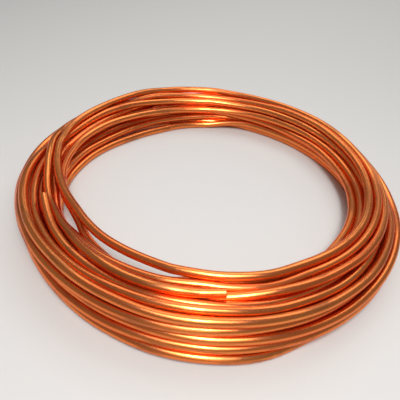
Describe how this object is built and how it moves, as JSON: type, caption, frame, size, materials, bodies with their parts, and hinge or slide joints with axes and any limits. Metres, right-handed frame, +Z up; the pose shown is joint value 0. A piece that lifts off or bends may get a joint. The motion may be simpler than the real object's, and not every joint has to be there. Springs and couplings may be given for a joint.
{
  "type": "copper tube coil",
  "caption": "Loose coil of bare round copper tube lying flat: a heap of nested turns round a wide open eye, with both tube ends free on top and cut square.",
  "frame": {"origin": "on the floor, on the axis of the coil", "axes": "+Z up along the coil's axis, -Y towards the side where one tube end lies"},
  "size_m": [0.768, 0.768, 0.0895],
  "materials": {
    "bare_copper": "bright drawn copper, faint lengthwise draw lines, warm brown tarnish in patches"
  },
  "bodies": {
    "root": {"tube_coil": "bare_copper"}
  },
  "joints": []
}
